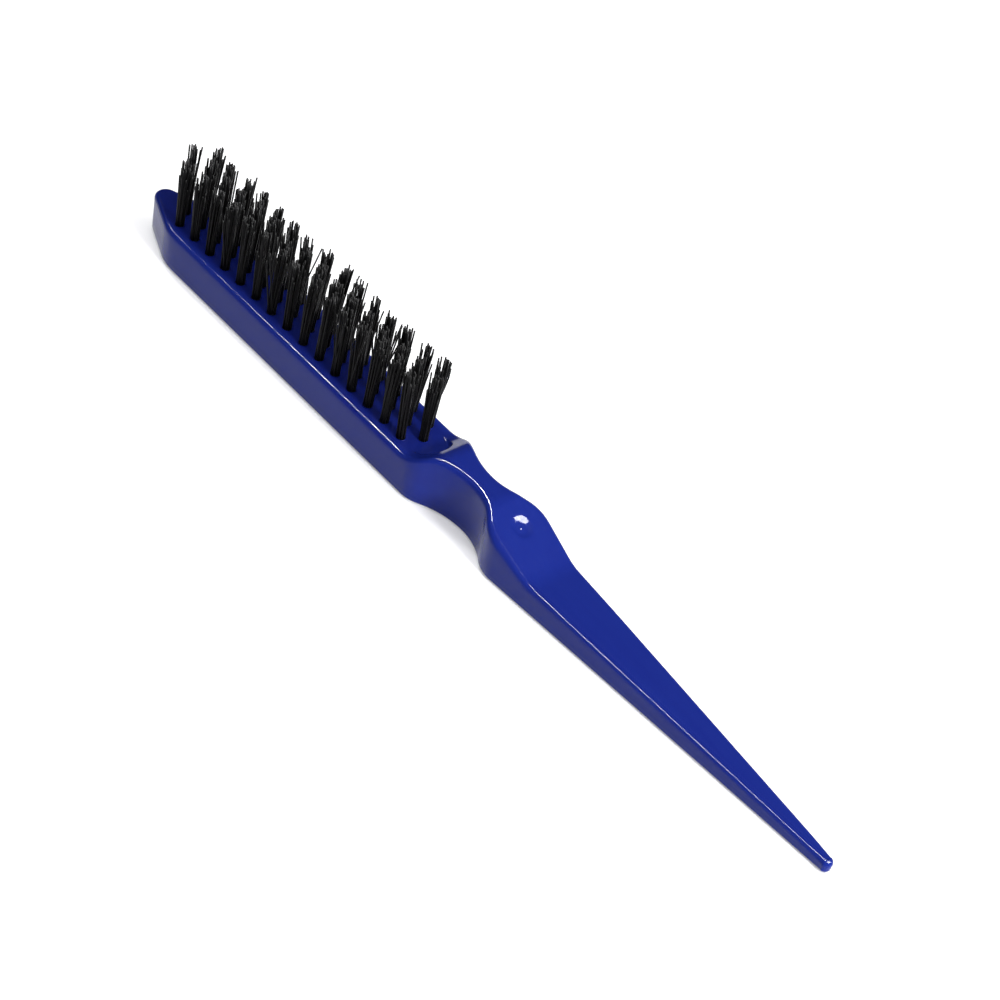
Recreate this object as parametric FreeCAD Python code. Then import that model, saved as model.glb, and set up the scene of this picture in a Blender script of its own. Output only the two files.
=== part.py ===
# Teasing brush with a tail handle: one moulded body and rows of nylon tufts held by flat metal anchors.
# Units are mm. X runs from the head's tip (-X) to the tail's tip (+X), Y across, Z up.
# The origin is at the middle of the flat back, which lies in the plane Z = 0.
import FreeCAD, Part
import math
import os

# Lengths along the brush, measured from the tip of the head.
overall_length = 222.8
head_taper_end = 13.0
waist_station = 112.9

# Half widths at the top of the side walls, and how far the walls lean in from there to the flat back.
head_half_width = 7.67
waist_half_width = 3.1
pad_half_width = 7.6
wall_draft = 0.6

# Plan radii at the top of the side walls.
head_tip_radius = 2.95
taper_corner_radius = 14.6
shoulder_radius = 8.6
waist_head_radius = 19.4
waist_tail_radius = 15.4
pad_radius = 9.6
tail_tip_radius = 1.95

# Side profile: height of the bed, then station, height and radius of each corner along the top.
bed_height = 10.0
ramp_foot = (97.4, bed_height, 9.0)
neck_start = (104.0, 14.15, 7.0)
neck_end = (120.6, 13.85, 7.0)
tail_root = (137.3, 6.8, 12.0)
tail_end_height = 2.95

# Edge rounding along the rims.
top_edge_radius = 1.0
bottom_edge_radius = 0.8

# Round relief cut into the ramp behind the last tuft, down to the level of the bed.
relief_station = 96.7
relief_radius = 4.3

# Small round dimple in the thumb rest: sloping wall, flat floor and a pip at its centre.
dimple_station = 126.3
dimple_offset = 0.4
dimple_radius = 2.4
dimple_floor_radius = 0.8
dimple_depth = 0.4
pip_radius = 0.5
pip_height = 0.2

# Tuft field: three staggered rows of drilled holes.
tuft_pitch = 5.64
row_spacing = 3.85
first_tuft_station = 12.8
outer_row_count = 15
middle_row_count = 16

# Each tuft: a bundle folded over its anchor, packed tight in the hole and fanning out above the bed.
hole_radius = 1.05
hole_depth = 6.5
tuft_height = 18.2
tuft_top_radius = 1.85
tuft_rim = 0.5

# Flat wire anchor pressed across the bottom of each hole.
anchor_length = 2.6
anchor_thickness = 0.35
anchor_height = 1.6
anchor_above_floor = 0.5
anchor_turn = 45.0

# How far cutting shapes run past the brush, and the tolerance for picking edges.
spare = 2.0
tolerance = 0.01


def along(station):
    """X of a station measured from the tip of the head."""
    return station - overall_length / 2


def point(x, y, z=0.0):
    return FreeCAD.Vector(x, y, z)


def arc_through(start, middle, end):
    return Part.Arc(start, middle, end).toShape()


def rounded_corner(before, corner, after, radius):
    """Start, middle and end of the arc that rounds a corner between two straights."""
    into = (corner - before).normalize()
    out = (after - corner).normalize()
    bend = into.getAngle(out)
    cut = radius * math.tan(bend / 2)
    inward = (out - into).normalize()
    middle = corner + inward * (radius / math.cos(bend / 2) - radius)
    return corner - into * cut, middle, corner + out * cut


def touching_centre(low_centre, reach, across, way):
    """Centre at a given offset across whose circle touches the waist's circle, before or after it."""
    return point(low_centre.x + way * math.sqrt(reach ** 2 - (low_centre.y - across) ** 2), across)


def common_tangent(first_centre, first_radius, second_centre, second_radius):
    """Touch points of the straight that runs along the left of two circles."""
    between = second_centre - first_centre
    lean = math.acos((first_radius - second_radius) / between.Length)
    angle = math.atan2(between.y, between.x) + lean
    aside = point(math.cos(angle), math.sin(angle))
    return first_centre + aside * first_radius, second_centre + aside * second_radius


def arc_on(centre, radius, start, end):
    """Arc of a circle from one of its points to another, the short way round."""
    middle = centre + ((start + end) / 2 - centre).normalize() * radius
    return arc_through(start, middle, end)


def plan_outline(inset, height):
    """Closed plan outline at one height, pulled in from the widest one by inset."""
    tip_radius = head_tip_radius - inset
    tip_centre = point(along(0) + tip_radius, 0)
    head_half = head_half_width - inset
    taper_corner = point(along(head_taper_end), head_half)

    # The waist is hollow, so its radii grow where the others shrink.
    head_low = point(along(waist_station), waist_half_width + waist_head_radius)
    tail_low = point(along(waist_station), waist_half_width + waist_tail_radius)
    shoulder = touching_centre(
        head_low, shoulder_radius + waist_head_radius, head_half_width - shoulder_radius, -1)
    pad = touching_centre(tail_low, pad_radius + waist_tail_radius, pad_half_width - pad_radius, 1)
    waist = point(along(waist_station), waist_half_width - inset)
    head_waist = head_low + (shoulder - head_low).normalize() * (waist_head_radius + inset)
    tail_waist = tail_low + (pad - tail_low).normalize() * (waist_tail_radius + inset)

    tail_radius = tail_tip_radius - inset
    tail_centre = point(along(overall_length) - tail_radius, 0)
    tip_touch, _ = common_tangent(tip_centre, tip_radius, taper_corner, 0)
    pad_touch, tail_touch = common_tangent(pad, pad_radius - inset, tail_centre, tail_radius)
    head_touch = point(shoulder.x, head_half)
    taper_start, taper_middle, taper_end = rounded_corner(
        tip_touch, taper_corner, head_touch, taper_corner_radius - inset)

    half = [
        Part.makeLine(tip_touch, taper_start),
        arc_through(taper_start, taper_middle, taper_end),
        Part.makeLine(taper_end, head_touch),
        arc_on(shoulder, shoulder_radius - inset, head_touch, head_waist),
        arc_on(head_low, waist_head_radius + inset, head_waist, waist),
        arc_on(tail_low, waist_tail_radius + inset, waist, tail_waist),
        arc_on(pad, pad_radius - inset, tail_waist, pad_touch),
        Part.makeLine(pad_touch, tail_touch),
    ]
    other_half = [edge.mirror(point(0, 0), point(0, 1)) for edge in reversed(half)]
    tail_end = arc_through(tail_touch, point(along(overall_length), 0), mirrored(tail_touch))
    head_end = arc_through(mirrored(tip_touch), point(along(0), 0), tip_touch)
    outline = Part.Wire(Part.__sortEdges__(half + [tail_end] + other_half + [head_end]))
    return outline.translated(point(0, 0, height))


def mirrored(plan_point):
    return point(plan_point.x, -plan_point.y)


def side_profile():
    """The face that the brush shows from the side, with smooth joins along its top."""
    left = along(-spare)
    right = along(overall_length + spare)
    rounded = (ramp_foot, neck_start, neck_end, tail_root)
    corners = [point(along(station), 0, height) for station, height, _ in rounded]
    radii = [radius for _, _, radius in rounded]
    path = [point(left, 0, bed_height)] + corners + [point(right, 0, tail_end_height)]
    edges = []
    last = path[0]
    for before, corner, after, radius in zip(path, path[1:], path[2:], radii):
        start, middle, end = rounded_corner(before, corner, after, radius)
        edges.append(Part.makeLine(last, start))
        edges.append(arc_through(start, middle, end))
        last = end
    edges.append(Part.makeLine(last, path[-1]))
    edges.append(Part.makeLine(path[-1], point(right, 0)))
    edges.append(Part.makeLine(point(right, 0), point(left, 0)))
    edges.append(Part.makeLine(point(left, 0), path[0]))
    return Part.Face(Part.Wire(edges))


def blank():
    """The body before its edges are rounded: drafted plan outline cut by the side profile."""
    width = 2 * (head_half_width + spare)
    _, neck_height, _ = neck_start
    walls = Part.makeLoft([plan_outline(wall_draft, 0.0), plan_outline(0.0, neck_height)], True, True)
    profile = side_profile()
    profile.translate(point(0, -width / 2))
    return walls.common(profile.extrude(point(0, width)))


def rim_of(body, top):
    """Edges all round the top, or round the bottom, of the side walls."""
    chosen = []
    for edge in body.Edges:
        heights = [vertex.Z for vertex in edge.Vertexes]
        across = edge.BoundBox.XLength < tolerance and edge.BoundBox.YLength > tail_tip_radius
        if top and min(heights) > tolerance and not across:
            chosen.append(edge)
        if not top and max(heights) < tolerance:
            chosen.append(edge)
    return chosen


def rest_surface():
    """Point of the thumb rest's straight slope at the middle of the dimple, and its outward normal."""
    start_station, start_height, _ = neck_end
    end_station, end_height, _ = tail_root
    slope = (end_height - start_height) / (end_station - start_station)
    height = start_height + slope * (dimple_station - start_station)
    return point(along(dimple_station), dimple_offset, height), point(-slope, 0, 1).normalize()


def dimple_cutter():
    """Cone that leaves the sloping wall and flat floor of the dimple, drawn on past the surface."""
    surface, normal = rest_surface()
    outer_radius = 2 * dimple_radius - dimple_floor_radius
    floor = surface - normal * dimple_depth
    return Part.makeCone(dimple_floor_radius, outer_radius, 2 * dimple_depth, floor, normal)


def dimple_pip():
    surface, normal = rest_surface()
    root = surface - normal * (dimple_depth + pip_height)
    return Part.makeCylinder(pip_radius, 2 * pip_height, root, normal)


def tuft_places():
    """Node name and hole centre of every tuft, row by row from the tip of the head."""
    rows = [
        ("front_tuft", outer_row_count, 0.0, -row_spacing),
        ("middle_tuft", middle_row_count, -tuft_pitch / 2, 0.0),
        ("back_tuft", outer_row_count, 0.0, row_spacing),
    ]
    places = []
    for name, count, shift, y in rows:
        for index in range(count):
            x = along(first_tuft_station + shift + index * tuft_pitch)
            places.append((f"{name}_{index + 1:02d}", x, y))
    return places


def tuft(x, y):
    """One bundle: a cylinder down in its hole, then a cone that fans out above the bed."""
    floor = bed_height - hole_depth
    top = bed_height + tuft_height
    corners = [
        point(0, 0, floor),
        point(hole_radius, 0, floor),
        point(hole_radius, 0, bed_height),
        point(tuft_top_radius, 0, top - tuft_rim),
        point(tuft_top_radius - tuft_rim, 0, top),
        point(0, 0, top),
    ]
    section = Part.Face(Part.makePolygon(corners + corners[:1]))
    bundle = section.revolve(point(0, 0), point(0, 0, 1), 360)
    return Part.makeSolid(bundle.Shells[0]).translated(point(x, y))


def hole(x, y):
    depth = hole_depth + spare
    return Part.makeCylinder(hole_radius, depth, point(x, y, bed_height - hole_depth))


def anchor(x, y):
    """Flat piece of wire standing on edge across the hole, with its ends bitten into the wall."""
    floor = bed_height - hole_depth + anchor_above_floor
    corner = point(-anchor_length / 2, -anchor_thickness / 2, floor)
    wire = Part.makeBox(anchor_length, anchor_thickness, anchor_height, corner)
    wire.rotate(point(0, 0), point(0, 0, 1), anchor_turn)
    return wire.translated(point(x, y))


def handle_body(places, anchors):
    """The moulding, with its rims rounded, then relieved, dimpled and drilled."""
    body = blank()
    body = body.makeFillet(top_edge_radius, rim_of(body, True))
    body = body.makeFillet(bottom_edge_radius, rim_of(body, False))
    relief = Part.makeCylinder(relief_radius, bed_height, point(along(relief_station), 0, bed_height))
    body = body.cut(relief).cut(dimple_cutter()).fuse(dimple_pip())
    holes = [hole(x, y) for _, x, y in places]
    body = body.cut(holes).cut(anchors)
    return body.Solids[0]


def save(shape, node):
    print(node, "valid", shape.isValid(), "solids", len(shape.Solids), "mm3", round(shape.Volume, 1))
    shape.exportStep(f"parts/{node}.step")


def main():
    os.makedirs("parts", exist_ok=True)
    places = tuft_places()
    anchors = [anchor(x, y) for _, x, y in places]
    save(handle_body(places, anchors), "handle_body")
    for (node, x, y), wire in zip(places, anchors):
        save(tuft(x, y).cut(wire), node)
    for row in ("front", "middle", "back"):
        wires = [wire for (node, _, _), wire in zip(places, anchors) if node.startswith(row)]
        save(Part.makeCompound(wires), f"{row}_row_anchors")


main()
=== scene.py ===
import math
import random

import bmesh
import bpy
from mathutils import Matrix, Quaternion, Vector


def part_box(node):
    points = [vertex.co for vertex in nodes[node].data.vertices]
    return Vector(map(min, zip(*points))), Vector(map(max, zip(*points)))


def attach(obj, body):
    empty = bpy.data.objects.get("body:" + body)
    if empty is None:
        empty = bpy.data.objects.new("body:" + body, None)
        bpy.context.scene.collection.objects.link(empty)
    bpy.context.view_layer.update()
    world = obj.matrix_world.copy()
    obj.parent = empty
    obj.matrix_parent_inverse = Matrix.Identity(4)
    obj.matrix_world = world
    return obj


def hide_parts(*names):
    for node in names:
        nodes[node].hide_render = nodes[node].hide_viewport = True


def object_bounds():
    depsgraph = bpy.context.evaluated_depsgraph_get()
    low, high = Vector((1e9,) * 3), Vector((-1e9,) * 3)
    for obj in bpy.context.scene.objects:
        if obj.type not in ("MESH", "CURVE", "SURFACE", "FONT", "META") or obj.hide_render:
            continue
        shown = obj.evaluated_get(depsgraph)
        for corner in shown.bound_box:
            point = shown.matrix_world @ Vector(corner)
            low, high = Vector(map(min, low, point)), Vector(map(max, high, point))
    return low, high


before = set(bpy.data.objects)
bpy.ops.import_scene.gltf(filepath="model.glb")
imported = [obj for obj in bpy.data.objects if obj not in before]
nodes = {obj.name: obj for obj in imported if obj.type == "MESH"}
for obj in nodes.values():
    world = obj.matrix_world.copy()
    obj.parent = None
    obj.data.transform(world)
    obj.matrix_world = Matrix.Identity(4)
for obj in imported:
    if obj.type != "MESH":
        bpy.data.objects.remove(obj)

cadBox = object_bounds()     # the size the design gives, before any looks are added
scene = bpy.context.scene
scene.view_settings.view_transform = "Standard"   # so that the white table stays white
mm = 0.001
print("frame loaded:", len(nodes), "design nodes")


def addNode(tree, kind, settings=None, links=None):
    # settings go to an input of that name or number, or else to the node itself
    node = tree.nodes.new(kind)
    for name, value in (settings or {}).items():
        if isinstance(name, int) or name in node.inputs:
            node.inputs[name].default_value = value
        else:
            setattr(node, name, value)
    for name, source in (links or {}).items():
        tree.links.new(source, node.inputs[name])
    return node


def fromHex(code):
    # an sRGB hex colour as the linear values that shaders want
    channels = [int(code[i:i + 2], 16) / 255 for i in (1, 3, 5)]
    linear = [c / 12.92 if c <= 0.04045 else ((c + 0.055) / 1.055) ** 2.4 for c in channels]
    return (*linear, 1.0)


def newMaterial(name):
    material = bpy.data.materials.new(name)
    material.use_nodes = True
    material.node_tree.nodes.clear()
    return material, material.node_tree


def perMetre(sizeMm):
    # texture scale that makes one cell of a pattern this many millimetres wide
    return 1.0 / (sizeMm * mm)


cameraSetup = {
    "azimuth": 40.6,             # degrees round from the front of the brush
    "elevation": 41.66,          # degrees above the table
    "roll": 13.97,               # degrees the camera is tilted on its own axis
    "distance": 671.7,           # mm
    "aim": (2.74, 5.88, 6.0),    # mm, the point in the middle of the frame
    "lens": 116.29,              # mm
    "sensor": 36.0,              # mm
    "clip": (0.02, 50.0),        # metres, nearest and farthest that it sees
}


def placeCamera(setup):
    azimuth = math.radians(setup["azimuth"])
    elevation = math.radians(setup["elevation"])
    back = Vector((
        math.sin(azimuth) * math.cos(elevation),
        -math.cos(azimuth) * math.cos(elevation),
        math.sin(elevation),
    ))
    lens = bpy.data.cameras.new("benchCamera")
    lens.lens = setup["lens"]
    lens.sensor_width = setup["sensor"]
    lens.clip_start, lens.clip_end = setup["clip"]
    camera = bpy.data.objects.new("benchCamera", lens)
    scene.collection.objects.link(camera)
    camera.rotation_mode = "QUATERNION"
    upright = (-back).to_track_quat("-Z", "Y")
    camera.rotation_quaternion = upright @ Quaternion((0, 0, 1), math.radians(setup["roll"]))
    camera.location = (Vector(setup["aim"]) + back * setup["distance"]) * mm
    scene.camera = camera


placeCamera(cameraSetup)
print("camera placed")


studio = {
    "tableHalf": 3000.0,         # mm, far enough out to fill low views
    "tableDrop": 0.05,           # mm under the flat back, so the two faces don't meet
    "tableColour": "#cdcdcf",
    "tableMottle": "#cacacc",
    "mottleSize": 40.0,          # mm
    "tableRoughness": 0.7,
    "acrylicIor": 1.49,
    "tableGlow": 0.32,           # light that comes up through the board
    "roomColour": "#ffffff",
    "roomStrength": 0.10,        # the dim room that the gloss reflects
    "skirtStrength": 1.0,        # what a low view sees past the table's edge
}

softboxes = {
    # middle and size in mm, power in watts; the first two light the brush, and the others only
    # draw the highlights: along the near edges, and in the dimple
    "longOverhead": {"at": (150, 10, 1000), "size": (1500, 1100), "power": 12.4,
                     "lights": True, "shines": False},
    "endBox": {"at": (1150, -60, 640), "size": (240, 240), "power": 23.0,
               "lights": True, "shines": False},
    "edgeStrip": {"at": (-370, 100, 1000), "size": (650, 100), "power": 50.0,
                  "lights": False, "shines": True},
    "headStrip": {"at": (-628, 100, 1000), "size": (90, 100), "power": 14.0,
                  "lights": False, "shines": True},
    "edgeStripFar": {"at": (-860, 120, 1000), "size": (400, 100), "power": 11.0,
                     "lights": False, "shines": True},
    "dimpleBox": {"at": (690, 290, 1000), "size": (780, 620), "power": 150.0,
                  "lights": False, "shines": True},
    "dimpleBoxBack": {"at": (860, 790, 1000), "size": (480, 360), "power": 54.0,
                      "lights": False, "shines": True},
}


def makeTable(setup):
    half = setup["tableHalf"] * mm
    drop = -setup["tableDrop"] * mm
    mesh = bpy.data.meshes.new("whiteTable")
    corners = [(-half, -half, drop), (half, -half, drop), (half, half, drop), (-half, half, drop)]
    mesh.from_pydata(corners, [], [(0, 1, 2, 3)])
    table = bpy.data.objects.new("whiteTable", mesh)
    scene.collection.objects.link(table)
    # opal acrylic lit faintly from below: plain white with the faintest mottle, soft shadows
    material, tree = newMaterial("acrylicOpalSatinWhite")
    place = addNode(tree, "ShaderNodeTexCoord")
    mottle = addNode(tree, "ShaderNodeTexNoise", {"Scale": perMetre(setup["mottleSize"]), "Detail": 2.0},
                     {"Vector": place.outputs["Object"]})
    colour = addNode(tree, "ShaderNodeMix", {"data_type": "RGBA", 6: fromHex(setup["tableColour"]),
                                             7: fromHex(setup["tableMottle"])}, {0: mottle.outputs[0]})
    surface = addNode(tree, "ShaderNodeBsdfPrincipled",
                      {"Roughness": setup["tableRoughness"], "IOR": setup["acrylicIor"],
                       "Emission Color": fromHex("#ffffff"), "Emission Strength": setup["tableGlow"]},
                      {"Base Color": colour.outputs[2]})
    addNode(tree, "ShaderNodeOutputMaterial", None, {"Surface": surface.outputs[0]})
    mesh.materials.append(material)


def makeRoom(setup):
    room = bpy.data.worlds.new("studioRoom")
    room.use_nodes = True
    tree = room.node_tree
    tree.nodes.clear()
    dim = addNode(tree, "ShaderNodeBackground", {"Color": fromHex(setup["roomColour"]),
                                                 "Strength": setup["roomStrength"]})
    pale = addNode(tree, "ShaderNodeBackground", {"Color": fromHex(setup["roomColour"]),
                                                  "Strength": setup["skirtStrength"]})
    path = addNode(tree, "ShaderNodeLightPath")
    both = addNode(tree, "ShaderNodeMixShader", None,
                   {0: path.outputs["Is Camera Ray"], 1: dim.outputs[0], 2: pale.outputs[0]})
    addNode(tree, "ShaderNodeOutputWorld", None, {"Surface": both.outputs[0]})
    scene.world = room


def hangSoftbox(name, setup):
    light = bpy.data.lights.new(name, "AREA")
    light.shape = "RECTANGLE"
    light.size = setup["size"][0] * mm
    light.size_y = setup["size"][1] * mm
    light.energy = setup["power"]
    lamp = bpy.data.objects.new(name, light)
    scene.collection.objects.link(lamp)
    lamp.location = Vector(setup["at"]) * mm
    lamp.rotation_mode = "QUATERNION"
    lamp.rotation_quaternion = Vector((0, 0, -1)).rotation_difference(-lamp.location)
    lamp.visible_camera = False
    lamp.visible_diffuse = setup["lights"]
    lamp.visible_glossy = setup["shines"]


makeTable(studio)
makeRoom(studio)
for name, setup in softboxes.items():
    hangSoftbox(name, setup)
print("table, room and", len(softboxes), "softboxes ready")


handleShape = {
    # one moulding, in mm; stations run from the head's tip, half widths are at the flat back
    "length": 222.0,
    # station, and how much the sides lean out for each mm of height
    "draft": ((0.0, 0.039), (98.0, 0.039), (105.0, 0.035), (115.0, 0.02), (119.0, 0.02),
              (128.0, 0.042), (140.0, 0.04), (222.0, 0.04)),
    "headHalf": 7.04,
    "headTip": 2.35,             # plan radius of the head's tip
    "taperCorner": 12.6,
    "taperRound": 14.0,
    "headStraight": 40.0,        # a station where the head's sides run straight
    "shoulderRound": 8.0,
    "waist": 112.5,
    "waistHalf": 2.65,
    "waistRounds": (20.0, 16.0), # towards the head, towards the tail
    "padHalf": 7.0,
    "padRound": 9.0,
    "tailHalf": 1.43,            # half width at the station below
    "tailGauge": 217.0,
    "tailTip": 1.35,
    # side view: station, height and corner radius; the second height is the bristle bed
    "profile": (
        (-1.0, 10.0, 0.0),
        (97.0, 10.0, 9.0),
        (103.6, 14.25, 7.0),
        (119.7, 13.85, 7.0),
        (136.9, 6.8, 12.0),
        (223.0, 2.95, 0.0),
    ),
    "backEdge": 0.85,            # radius along the flat back
    # radius along the top, by station
    "topEdge": ((0.0, 1.1), (95.0, 1.2), (104.0, 1.4), (118.0, 1.5), (127.0, 1.6),
                (139.0, 1.0), (152.0, 0.75), (216.0, 0.75), (222.0, 1.1)),
    "relief": (96.3, 4.3),       # round relief behind the last tuft: station, radius
    "reliefWall": 0.28,          # softness of its wall
    "dimple": (126.0, 0.2),      # station and offset across
    "dimpleRadii": (1.35, 2.5),  # flat floor, rim
    "dimpleDepth": 0.33,
    "pip": (0.1, 0.5, 0.10),     # nub on its floor: flat top, foot, height
    "holeRadius": 1.05,
    "holeFloor": 3.5,            # height over the flat back
    "holeSides": 24,
    "drillProud": 1.0,           # how far the drills stand over the bed
    # section of the ridge round each hole: radius, and height over the bed
    "lip": ((1.06, -0.02), (1.09, 0.09), (1.24, 0.072), (1.3, -0.02)),
    "tipTurn": 8,                # degrees between rings of the mesh round the head's tip
    "tailTurn": 10,              # and round the tail's
    # where each zone of rings ends, and their spacing: closer at the ramp and the dimple
    "ringZones": ((14.0, 0.6), (93.0, 1.6), (105.0, 0.3), (120.0, 0.75), (130.0, 0.3), (145.0, 0.8)),
    "tailSpacing": 2.0,
    "backTurns": (0, 22, 45, 68, 90),                       # degrees round the lower edge
    "topTurns": (0, 12, 24, 36, 48, 60, 70, 80, 90),        # and round the upper one
    "wallSteps": 4,
    "columns": 45,               # across the top, odd so that no line of the mesh runs along the middle
    "underColumns": 6,
    "weld": 0.004,               # points closer than this are joined
    "shortest": 0.002,           # edges shorter than this are dropped
    "sharpAngle": 50,            # degrees, faces that meet at more than this keep a crisp edge
}


def roundedHeight(corners, station):
    # height of a line of straights whose corners are rounded by arcs
    for (s0, z0, _), (s1, z1, radius), (s2, z2, _) in zip(corners, corners[1:], corners[2:]):
        slopeIn = math.atan2(z1 - z0, s1 - s0)
        slopeOut = math.atan2(z2 - z1, s2 - s1)
        bend = slopeOut - slopeIn
        cut = radius * math.tan(abs(bend) / 2)
        start = s1 - cut * math.cos(slopeIn)
        end = s1 + cut * math.cos(slopeOut)
        if station <= start:
            return z1 + (station - s1) * math.tan(slopeIn)
        if station < end:
            way = math.copysign(1, bend)
            centreS = start - way * radius * math.sin(slopeIn)
            centreZ = z1 - cut * math.sin(slopeIn) + way * radius * math.cos(slopeIn)
            return centreZ - way * math.sqrt(radius ** 2 - (station - centreS) ** 2)
    s1, z1, _ = corners[-2]
    s2, z2, _ = corners[-1]
    return z1 + (station - s1) * (z2 - z1) / (s2 - s1)


def alongKnots(knots, station):
    for (s0, v0), (s1, v1) in zip(knots, knots[1:]):
        if station <= s1:
            return v0 + (v1 - v0) * max(station - s0, 0) / (s1 - s0)
    return knots[-1][1]


def easeBetween(low, high, value):
    t = max(0.0, min(1.0, (value - low) / (high - low)))
    return t * t * (3 - 2 * t)


def bedHeight(shape):
    return shape["profile"][1][1]


def backHalfWidth(shape, station):
    # half width of the flat back: tip, taper, straight head, shoulder, waist, pad, tail
    tip = shape["headTip"]
    tailTip = shape["tailTip"]
    head = shape["headHalf"]
    pad = shape["padHalf"]
    roundIn, roundOut = shape["waistRounds"]
    waist = shape["waist"]
    headReach = shape["shoulderRound"] + roundIn
    padReach = shape["padRound"] + roundOut
    shoulderS = waist - math.sqrt(
        headReach ** 2 - (shape["waistHalf"] + roundIn - head + shape["shoulderRound"]) ** 2)
    padS = waist + math.sqrt(
        padReach ** 2 - (shape["waistHalf"] + roundOut - pad + shape["padRound"]) ** 2)
    shoulderEnd = shoulderS + (waist - shoulderS) * shape["shoulderRound"] / headReach
    padStart = padS - (padS - waist) * shape["padRound"] / padReach
    # straight taper that touches the tip circle and runs to the head's corner
    dx = shape["taperCorner"] - tip
    lean = math.atan2(head, dx) - math.asin(tip / math.hypot(dx, head))
    touch = tip - tip * math.sin(lean)
    if station < touch:
        return math.sqrt(max(tip ** 2 - (station - tip) ** 2, 0))
    if station < shape["headStraight"]:
        taper = ((touch, head - (shape["taperCorner"] - touch) * math.tan(lean), 0.0),
                 (shape["taperCorner"], head, shape["taperRound"]), (shape["headStraight"], head, 0.0))
        return roundedHeight(taper, station)
    if station < shoulderS:
        return head
    if station < shoulderEnd:
        return head - shape["shoulderRound"] + math.sqrt(
            shape["shoulderRound"] ** 2 - (station - shoulderS) ** 2)
    if station < waist:
        return shape["waistHalf"] + roundIn - math.sqrt(roundIn ** 2 - (station - waist) ** 2)
    if station < padStart:
        return shape["waistHalf"] + roundOut - math.sqrt(roundOut ** 2 - (station - waist) ** 2)
    slope = (pad - shape["tailHalf"]) / (shape["tailGauge"] - padS)
    leave = padS + shape["padRound"] * math.sin(math.atan(slope))
    if station < leave:
        return pad - shape["padRound"] + math.sqrt(shape["padRound"] ** 2 - (station - padS) ** 2)
    tailCentre = shape["length"] - tailTip
    if station > tailCentre:
        return math.sqrt(max(tailTip ** 2 - (station - tailCentre) ** 2, 0))
    return shape["tailHalf"] + (shape["tailGauge"] - station) * slope


def topHeight(shape, station, across):
    # height of the top surface, with the relief and the dimple
    height = roundedHeight(shape["profile"], station)
    reliefS, reliefR = shape["relief"]
    outside = math.hypot(station - reliefS, across) - reliefR
    bed = bedHeight(shape)
    if outside < shape["reliefWall"] and height > bed and station < reliefS + 2 * reliefR:
        height = bed + (height - bed) * easeBetween(-shape["reliefWall"], shape["reliefWall"], outside)
    dimpleS, dimpleY = shape["dimple"]
    reach = math.hypot(station - dimpleS, across - dimpleY)
    floor, rim = shape["dimpleRadii"]
    if reach < rim:
        wall = min(1.0, (rim - reach) / (rim - floor))   # a straight cone wall
        height -= shape["dimpleDepth"] * wall
        pipTop, pipFoot, pipHeight = shape["pip"]
        height += pipHeight * (1 - easeBetween(pipTop, pipFoot, reach))
    return height


def stationList(shape):
    # where the rings of the mesh stand, from one round end to the other
    tipTurns = range(0, 80, shape["tipTurn"])
    tailTurns = range(shape["tailTurn"], 91, shape["tailTurn"])
    stations = [shape["headTip"] * (1 - math.cos(math.radians(a))) for a in tipTurns]
    for end, step in shape["ringZones"]:
        start = stations[-1]
        count = max(1, round((end - start) / step))
        stations += [start + (end - start) * (i + 1) / count for i in range(count)]
    tailCentre = shape["length"] - shape["tailTip"]
    count = round((tailCentre - stations[-1]) / shape["tailSpacing"])
    start = stations[-1]
    stations += [start + (tailCentre - start) * (i + 1) / count for i in range(count)]
    stations += [tailCentre + shape["tailTip"] * math.sin(math.radians(a)) for a in tailTurns]
    return stations


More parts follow.
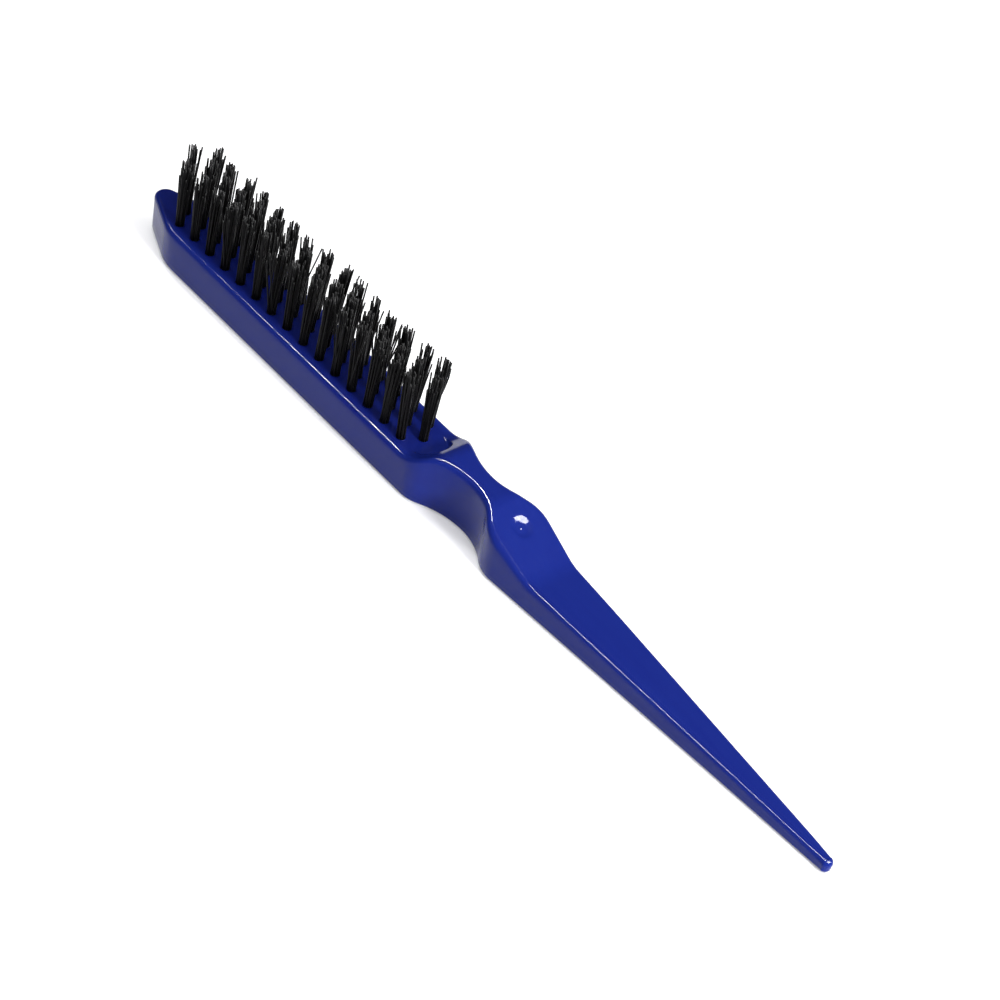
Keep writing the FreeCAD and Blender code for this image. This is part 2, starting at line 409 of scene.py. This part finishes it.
def handleMesh(shape):
    # rings round the section, each from the near side over the top and back along the underside
    stations = stationList(shape)
    halves = [backHalfWidth(shape, s) for s in stations]
    halves[0] = 0.0
    halves[-1] = 0.0
    count = len(stations)
    normals = []                 # of the outline, seen from above
    for i in range(count):
        before = (stations[i - 1], halves[i - 1]) if i else (stations[1], -halves[1])
        after = (stations[i + 1], halves[i + 1]) if i < count - 1 else (stations[-2], -halves[-2])
        run = Vector((after[0] - before[0], after[1] - before[1])).normalized()
        normals.append(Vector((-run.y, run.x)))
    middle = shape["length"] / 2
    wallSteps = shape["wallSteps"]
    backSteps = [math.radians(a) for a in shape["backTurns"]]
    topSteps = [math.radians(a) for a in shape["topTurns"]]
    points = []

    def ringPoint(i, side, inset, height):
        # a point of the outline pulled in by inset, with the lean of the sides added back
        inset = inset - alongKnots(shape["draft"], stations[i]) * height
        x = stations[i] - normals[i].x * inset
        y = max(halves[i] - normals[i].y * inset, 0.0)
        return x, side * y

    columns = shape["columns"]
    underColumns = shape["underColumns"]
    sections = []
    for i in range(count):
        back = shape["backEdge"]
        edge = alongKnots(shape["topEdge"], stations[i])
        lid = roundedHeight(shape["profile"], stations[i])
        rows = []                # inset, then height, or else the drop from the top surface
        for angle in backSteps:
            rows.append((back * (1 - math.sin(angle)), back * (1 - math.cos(angle)), None))
        for step in range(1, wallSteps):
            rows.append((0.0, back + (lid - edge - back) * step / wallSteps, None))
        for angle in topSteps:
            rows.append((edge * (1 - math.cos(angle)), None, edge * (1 - math.sin(angle))))
        section = []
        for side in (-1, 1):
            rim = []
            for inset, height, drop in rows:
                x, y = ringPoint(i, side, inset, lid if height is None else height)
                z = height if height is not None else topHeight(shape, x, y) - drop
                rim.append(Vector((x - middle, y, z)))
            section.append(rim)
        near, far = section
        top = []
        for c in range(1, columns):
            spot = near[-1].lerp(far[-1], c / columns)
            spot.z = topHeight(shape, spot.x + middle, spot.y)
            top.append(spot)
        under = [far[0].lerp(near[0], c / underColumns) for c in range(1, underColumns)]
        loop = near + top + far[::-1] + under
        sections.append(len(points))
        points += loop
    size = len(points) // count
    faces = []
    for i in range(count - 1):
        for j in range(size):
            k = (j + 1) % size
            a, b = sections[i], sections[i + 1]
            faces.append((a + j, b + j, b + k, a + k))
    return points, faces


def holeCutters(shape, tufts):
    # one closed drum for each tuft's hole, standing a little proud of the bed
    drillTop = bedHeight(shape) + shape["drillProud"]
    points = []
    faces = []
    for name in tufts:
        low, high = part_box(name)
        centre = (low + high) / 2 / mm
        start = len(points)
        sides = shape["holeSides"]
        for height in (shape["holeFloor"], drillTop):
            for corner in range(sides):
                angle = math.tau * corner / sides
                points.append((centre.x + shape["holeRadius"] * math.cos(angle),
                               centre.y + shape["holeRadius"] * math.sin(angle), height))
        for corner in range(sides):
            after = (corner + 1) % sides
            faces.append((start + corner, start + after, start + sides + after, start + sides + corner))
        faces.append(tuple(range(start + sides - 1, start - 1, -1)))
        faces.append(tuple(range(start + sides, start + 2 * sides)))
    mesh = bpy.data.meshes.new("holeCutters")
    mesh.from_pydata([Vector(p) * mm for p in points], [], faces)
    return bpy.data.objects.new("holeCutters", mesh)


def addLips(body, shape, tufts):
    # the low ridge of plastic thrown up round each hole by the drill
    bed = bedHeight(shape)
    sides = shape["holeSides"]
    for name in tufts:
        low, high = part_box(name)
        centre = (low + high) / 2 / mm
        rings = []
        for radius, height in shape["lip"]:
            ring = []
            for corner in range(sides):
                angle = math.tau * corner / sides
                spot = Vector((centre.x + radius * math.cos(angle), centre.y + radius * math.sin(angle),
                               bed + height))
                ring.append(body.verts.new(spot * mm))
            rings.append(ring)
        for below, above in zip(rings, rings[1:] + rings[:1]):
            for corner in range(sides):
                after = (corner + 1) % sides
                body.faces.new((below[corner], above[corner], above[after], below[after]))


def makeHandle(shape, tufts):
    points, faces = handleMesh(shape)
    mesh = bpy.data.meshes.new("handleMoulding")
    mesh.from_pydata([p * mm for p in points], [], faces)
    body = bmesh.new()
    body.from_mesh(mesh)
    bmesh.ops.remove_doubles(body, verts=body.verts, dist=shape["weld"] * mm)
    bmesh.ops.dissolve_degenerate(body, edges=body.edges, dist=shape["shortest"] * mm)
    bmesh.ops.holes_fill(body, edges=body.edges, sides=0)
    bmesh.ops.recalc_face_normals(body, faces=body.faces)
    body.to_mesh(mesh)
    body.free()
    moulding = bpy.data.objects.new("handle_moulding", mesh)
    scene.collection.objects.link(moulding)
    # drill the holes, then keep the result as the object's own mesh
    cutters = holeCutters(shape, tufts)
    scene.collection.objects.link(cutters)
    drill = moulding.modifiers.new("drill", "BOOLEAN")
    drill.operation = "DIFFERENCE"
    drill.solver = "EXACT"
    drill.object = cutters
    result = moulding.evaluated_get(bpy.context.evaluated_depsgraph_get())
    drilled = bpy.data.meshes.new_from_object(result)
    moulding.modifiers.clear()
    bpy.data.objects.remove(cutters)
    body = bmesh.new()
    body.from_mesh(drilled)
    addLips(body, shape, tufts)
    body.to_mesh(drilled)
    body.free()
    moulding.data = drilled
    drilled.polygons.foreach_set("use_smooth", [True] * len(drilled.polygons))
    drilled.set_sharp_from_angle(angle=math.radians(shape["sharpAngle"]))
    return moulding


handleFinish = {
    "darkBlue": "#131f6c",
    "lightBlue": "#172674",
    "flowLength": 34.0,          # mm, streaks left as the plastic ran along the mould
    "flowWidth": 3.2,            # mm
    "peelSize": 1.4,             # mm, the slight waviness of a cooled gloss skin
    "peelDepth": 0.006,          # mm
    "smoothest": 0.09,
    "roughest": 0.17,
    "ior": 1.49,
    "specular": 0.10,            # a weak shine, so that the walls stay blue
    "scuffLength": 9.0,          # mm, fine rubs from handling
    "scuffWidth": 0.25,          # mm, drawn a little coarser than real so they can be seen
    "scuffTurn": 0.12,           # radians off the length
    "scuffRange": (0.45, 0.75),  # the share of that pattern over which the gloss dulls
    "bedShadeBlue": "#0c1456",        # painted shade of the tufts: the flat between them is drawn a darker blue
    "bedShadeShare": 0.6,             # how much of that painted shade shows
    "bedShadeEnd": (-17.0, -11.0),    # mm along X, where that fades out
    "bedShadeSide": (5.0, 6.4),       # mm from the middle
    "bedShadeLevel": (9.85, 9.97),    # mm up
}


def mouldedPolypropylene(setup):
    # polypropylene, injection moulded in a polished tool: deep royal blue with a tight gloss
    # that wavers slightly, faint flow streaks, rubs that dull it in places, and painted shade on the
    # bristle bed
    material, tree = newMaterial("polypropyleneMouldedGlossBlue")
    place = addNode(tree, "ShaderNodeTexCoord")
    along = addNode(tree, "ShaderNodeMapping",
                    {"Scale": (perMetre(setup["flowLength"]), perMetre(setup["flowWidth"]),
                               perMetre(setup["flowWidth"]))}, {"Vector": place.outputs["Object"]})
    flow = addNode(tree, "ShaderNodeTexNoise", {"Scale": 1.0, "Detail": 3.0, "Distortion": 0.3},
                   {"Vector": along.outputs[0]})
    colour = addNode(tree, "ShaderNodeMix", {"data_type": "RGBA", 6: fromHex(setup["darkBlue"]),
                                             7: fromHex(setup["lightBlue"])}, {0: flow.outputs[0]})
    spot = addNode(tree, "ShaderNodeSeparateXYZ", None, {0: place.outputs["Object"]})
    aside = addNode(tree, "ShaderNodeMath", {"operation": "ABSOLUTE"}, {0: spot.outputs[1]})
    # painted shade: the bed top is drawn a deeper blue for the shade the tufts throw on it, fading out by
    # the neck and towards the side edges
    endStart, endStop = setup["bedShadeEnd"]
    sideStart, sideStop = setup["bedShadeSide"]
    levelStart, levelStop = setup["bedShadeLevel"]
    inEnd = addNode(tree, "ShaderNodeMapRange",
                    {"From Min": endStart * mm, "From Max": endStop * mm, "To Min": setup["bedShadeShare"],
                     "To Max": 0.0}, {"Value": spot.outputs[0]})
    inSide = addNode(tree, "ShaderNodeMapRange",
                     {"From Min": sideStart * mm, "From Max": sideStop * mm, "To Min": 1.0,
                      "To Max": 0.0}, {"Value": aside.outputs[0]})
    inLevel = addNode(tree, "ShaderNodeMapRange",
                      {"From Min": levelStart * mm, "From Max": levelStop * mm},
                      {"Value": spot.outputs[2]})
    bedShadeMask = addNode(tree, "ShaderNodeMath", {"operation": "MULTIPLY"},
                    {0: inEnd.outputs[0], 1: inSide.outputs[0]})
    bedShadeMask = addNode(tree, "ShaderNodeMath", {"operation": "MULTIPLY"},
                    {0: bedShadeMask.outputs[0], 1: inLevel.outputs[0]})
    colour = addNode(tree, "ShaderNodeMix", {"data_type": "RGBA", 7: fromHex(setup["bedShadeBlue"])},
                     {0: bedShadeMask.outputs[0], 6: colour.outputs[2]})
    rubs = addNode(tree, "ShaderNodeMapping",
                   {"Scale": (perMetre(setup["scuffLength"]), perMetre(setup["scuffWidth"]),
                              perMetre(setup["scuffWidth"])), "Rotation": (0.0, 0.0, setup["scuffTurn"])},
                   {"Vector": place.outputs["Object"]})
    scuff = addNode(tree, "ShaderNodeTexNoise", {"Scale": 1.0, "Detail": 1.0},
                    {"Vector": rubs.outputs[0]})
    dullFrom, dullTo = setup["scuffRange"]
    polish = addNode(tree, "ShaderNodeMapRange",
                     {"From Min": dullFrom, "From Max": dullTo, "To Min": setup["smoothest"],
                      "To Max": setup["roughest"]}, {"Value": scuff.outputs[0]})
    peel = addNode(tree, "ShaderNodeTexNoise", {"Scale": perMetre(setup["peelSize"]), "Detail": 1.5},
                   {"Vector": place.outputs["Object"]})
    skin = addNode(tree, "ShaderNodeBump", {"Strength": 1.0, "Distance": setup["peelDepth"] * mm},
                   {"Height": peel.outputs[0]})
    surface = addNode(tree, "ShaderNodeBsdfPrincipled",
                      {"IOR": setup["ior"], "Specular IOR Level": setup["specular"]},
                      {"Base Color": colour.outputs[2], "Roughness": polish.outputs[0],
                       "Normal": skin.outputs[0]})
    addNode(tree, "ShaderNodeOutputMaterial", None, {"Surface": surface.outputs[0]})
    return material


tuftNodes = sorted(name for name in nodes if "tuft" in name)
handle = makeHandle(handleShape, tuftNodes)
handle.data.materials.append(mouldedPolypropylene(handleFinish))
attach(handle, "root")
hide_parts("handle_body")
print("handle finished")


anchorFinish = {
    # wire anchors at the bottom of the holes
    "zincLight": "#b9bbbd",
    "zincDark": "#8b8e91",
    "drawLine": 0.08,            # mm between drawing marks, coarser than real
    "drawLength": 3.0,           # mm
    "wireTurn": -45.0,           # degrees, the way the wires lie
    "roughness": (0.28, 0.45),
    "lineDepth": 0.004,          # mm
}


def drawnSteel(setup):
    # low-carbon steel wire, drawn and zinc plated: mid grey metal with fine lines along it
    material, tree = newMaterial("steelWireDrawnZinc")
    place = addNode(tree, "ShaderNodeTexCoord")
    lines = addNode(tree, "ShaderNodeMapping",
                    {"Rotation": (0.0, 0.0, math.radians(setup["wireTurn"])),
                     "Scale": (perMetre(setup["drawLength"]), perMetre(setup["drawLine"]),
                               perMetre(setup["drawLine"]))}, {"Vector": place.outputs["Object"]})
    marks = addNode(tree, "ShaderNodeTexNoise", {"Scale": 1.0, "Detail": 2.0},
                    {"Vector": lines.outputs[0]})
    colour = addNode(tree, "ShaderNodeMix", {"data_type": "RGBA", 6: fromHex(setup["zincDark"]),
                                             7: fromHex(setup["zincLight"])}, {0: marks.outputs[0]})
    bright, dull = setup["roughness"]
    grip = addNode(tree, "ShaderNodeMapRange", {"To Min": bright, "To Max": dull},
                   {"Value": marks.outputs[0]})
    relief = addNode(tree, "ShaderNodeBump", {"Distance": setup["lineDepth"] * mm},
                     {"Height": marks.outputs[0]})
    surface = addNode(tree, "ShaderNodeBsdfPrincipled", {"Metallic": 1.0},
                      {"Base Color": colour.outputs[2], "Roughness": grip.outputs[0],
                       "Normal": relief.outputs[0]})
    addNode(tree, "ShaderNodeOutputMaterial", None, {"Surface": surface.outputs[0]})
    return material


anchorSteel = drawnSteel(anchorFinish)
for name, node in nodes.items():
    if name.endswith("anchors"):
        node.data.materials.clear()
        node.data.materials.append(anchorSteel)
print("anchors finished")


bristle = {
    # tufts, each a bundle of separate filaments
    "bedHeight": bedHeight(handleShape),
    "buried": 1.2,               # mm of each filament kept inside its hole
    "perTuft": 30,
    "filament": 0.38,            # mm across
    "sides": 6,
    "rings": 7,
    "bundle": 0.90,              # mm, radius of the filament centres where they leave the hole
    "flare": 1.5,                # how much wider the bundle is at its top
    "flarePower": 1.25,
    "tuftLean": 1.3,             # degrees, each tuft as a whole
    "filamentLean": 1.0,         # degrees, each filament
    "jitter": 0.25,              # radians, how far it may stand off its place in the spiral
    "bow": 0.15,                 # mm, sideways curve at the top
    "strayShare": 0.025,         # share of filaments that stick out
    "strayLean": (6.0, 14.0),    # degrees
    "unevenTop": 1.0,            # mm, usual loss of length
    "shortShare": 0.42,          # share of filaments cut clearly short,
    "shortMiddle": 0.5,          # times this in the middle of the tuft
    "shortRise": 0.8,            # and this much more at its rim
    "shortBy": (1.6, 5.0),       # mm
    "sideRoom": 0.3,             # mm kept to the design's sides
    "seed": 100,
}

bristleFinish = {
    "black": "#060607",
    "charcoal": "#0f0f11",
    "streakWidth": 0.09,         # mm, draw marks on the filament, which also paint a lighter sheen along it
    "streakLength": 5.0,         # mm
    "roughness": (0.34, 0.52),
    "streakDepth": 0.004,        # mm
    "ior": 1.53,
    "specular": 0.07,            # a weak shine, so that the tufts stay black
}


def extrudedNylon(setup):
    # nylon monofilament, extruded and cut: black and half dull, each filament a slightly
    # different black, with draw marks that ridge and dull it, and lighter streaks painted along it as
    # sheen
    material, tree = newMaterial("nylonExtrudedBlack")
    place = addNode(tree, "ShaderNodeTexCoord")
    each = addNode(tree, "ShaderNodeNewGeometry")
    along = addNode(tree, "ShaderNodeMapping",
                    {"Scale": (perMetre(setup["streakWidth"]), perMetre(setup["streakWidth"]),
                               perMetre(setup["streakLength"]))}, {"Vector": place.outputs["Object"]})
    marksAndSheen = addNode(tree, "ShaderNodeTexNoise", {"Scale": 1.0, "Detail": 1.0},
                     {"Vector": along.outputs[0]})
    # painted sheen: along the streaks the colour is lifted towards charcoal, mixed with each filament's
    # own random tone
    toneAndSheen = addNode(tree, "ShaderNodeMath", {"operation": "MULTIPLY"},
                   {0: each.outputs["Random Per Island"], 1: marksAndSheen.outputs[0]})
    colour = addNode(tree, "ShaderNodeMix", {"data_type": "RGBA", 6: fromHex(setup["black"]),
                                             7: fromHex(setup["charcoal"])}, {0: toneAndSheen.outputs[0]})
    bright, dull = setup["roughness"]
    sheen = addNode(tree, "ShaderNodeMapRange", {"To Min": bright, "To Max": dull},
                    {"Value": marksAndSheen.outputs[0]})
    relief = addNode(tree, "ShaderNodeBump", {"Distance": setup["streakDepth"] * mm},
                     {"Height": marksAndSheen.outputs[0]})
    surface = addNode(tree, "ShaderNodeBsdfPrincipled",
                      {"IOR": setup["ior"], "Specular IOR Level": setup["specular"]},
                      {"Base Color": colour.outputs[2], "Roughness": sheen.outputs[0],
                       "Normal": relief.outputs[0]})
    addNode(tree, "ShaderNodeOutputMaterial", None, {"Surface": surface.outputs[0]})
    return material


def filamentPath(setup, dice, root, reach, tuftTilt):
    # centre line of one filament from inside the hole to its cut end, heights from the bed
    radial = root.length / setup["bundle"]
    length = reach - abs(dice.gauss(0, setup["unevenTop"]))
    if dice.random() < setup["shortShare"] * (setup["shortMiddle"] + radial * setup["shortRise"]):
        length -= dice.uniform(*setup["shortBy"])
    tilt = Vector((dice.gauss(0, 1), dice.gauss(0, 1))) * math.tan(math.radians(setup["filamentLean"]))
    if dice.random() < setup["strayShare"]:
        turn = dice.uniform(0, math.tau)
        extra = math.tan(math.radians(dice.uniform(*setup["strayLean"])))
        tilt += Vector((math.cos(turn), math.sin(turn))) * extra
    bow = Vector((dice.gauss(0, 1), dice.gauss(0, 1))) * setup["bow"]
    path = []
    for ring in range(setup["rings"]):
        height = -setup["buried"] + (length + setup["buried"]) * ring / (setup["rings"] - 1)
        up = max(height, 0) / reach
        spread = 1 + (setup["flare"] - 1) * up ** setup["flarePower"]
        side = root * spread + (tilt + tuftTilt) * up * reach + bow * up * up
        path.append((side, height))
    return path


def makeTuft(node, setup, dice):
    low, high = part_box(node)
    centre = (low + high) / 2 / mm
    roof = high.z / mm - setup["bedHeight"]
    sideLimit = cadBox[1].y / mm - setup["sideRoom"]
    golden = math.pi * (3 - math.sqrt(5))
    tuftTilt = Vector((dice.gauss(0, 1), dice.gauss(0, 1))) * math.tan(math.radians(setup["tuftLean"]))
    points = []
    faces = []
    for count in range(setup["perTuft"]):
        # filaments spiral out from the middle so that the bundle is evenly packed
        radius = setup["bundle"] * math.sqrt((count + 0.5) / setup["perTuft"])
        turn = count * golden + dice.uniform(-setup["jitter"], setup["jitter"])
        root = Vector((math.cos(turn), math.sin(turn))) * radius
        path = filamentPath(setup, dice, root, roof, tuftTilt)
        start = len(points)
        for side, height in path:
            middle = Vector((centre.x + side.x, centre.y + side.y, setup["bedHeight"] + height))
            middle.y = max(-sideLimit, min(sideLimit, middle.y))
            for corner in range(setup["sides"]):
                angle = math.tau * corner / setup["sides"]
                offset = Vector((math.cos(angle), math.sin(angle), 0)) * setup["filament"] / 2
                points.append((middle + offset) * mm)
        for ring in range(setup["rings"] - 1):
            for corner in range(setup["sides"]):
                after = (corner + 1) % setup["sides"]
                below = start + ring * setup["sides"]
                above = below + setup["sides"]
                faces.append((below + corner, below + after, above + after, above + corner))
        top = start + (setup["rings"] - 1) * setup["sides"]
        faces.append(tuple(range(top, top + setup["sides"])))
        faces.append(tuple(range(start + setup["sides"] - 1, start - 1, -1)))
    mesh = bpy.data.meshes.new(node + "_filaments")
    mesh.from_pydata(points, [], faces)
    smooth = [len(face) == 4 for face in faces]   # round sides, flat cut ends
    mesh.polygons.foreach_set("use_smooth", smooth)
    tuft = bpy.data.objects.new(node + "_filaments", mesh)
    scene.collection.objects.link(tuft)
    return tuft


nylon = extrudedNylon(bristleFinish)
for index, name in enumerate(tuftNodes):
    tuft = makeTuft(name, bristle, random.Random(bristle["seed"] + index))
    tuft.data.materials.append(nylon)
    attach(tuft, "root")
    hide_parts(name)
print(len(tuftNodes), "tufts made of", bristle["perTuft"], "filaments each")
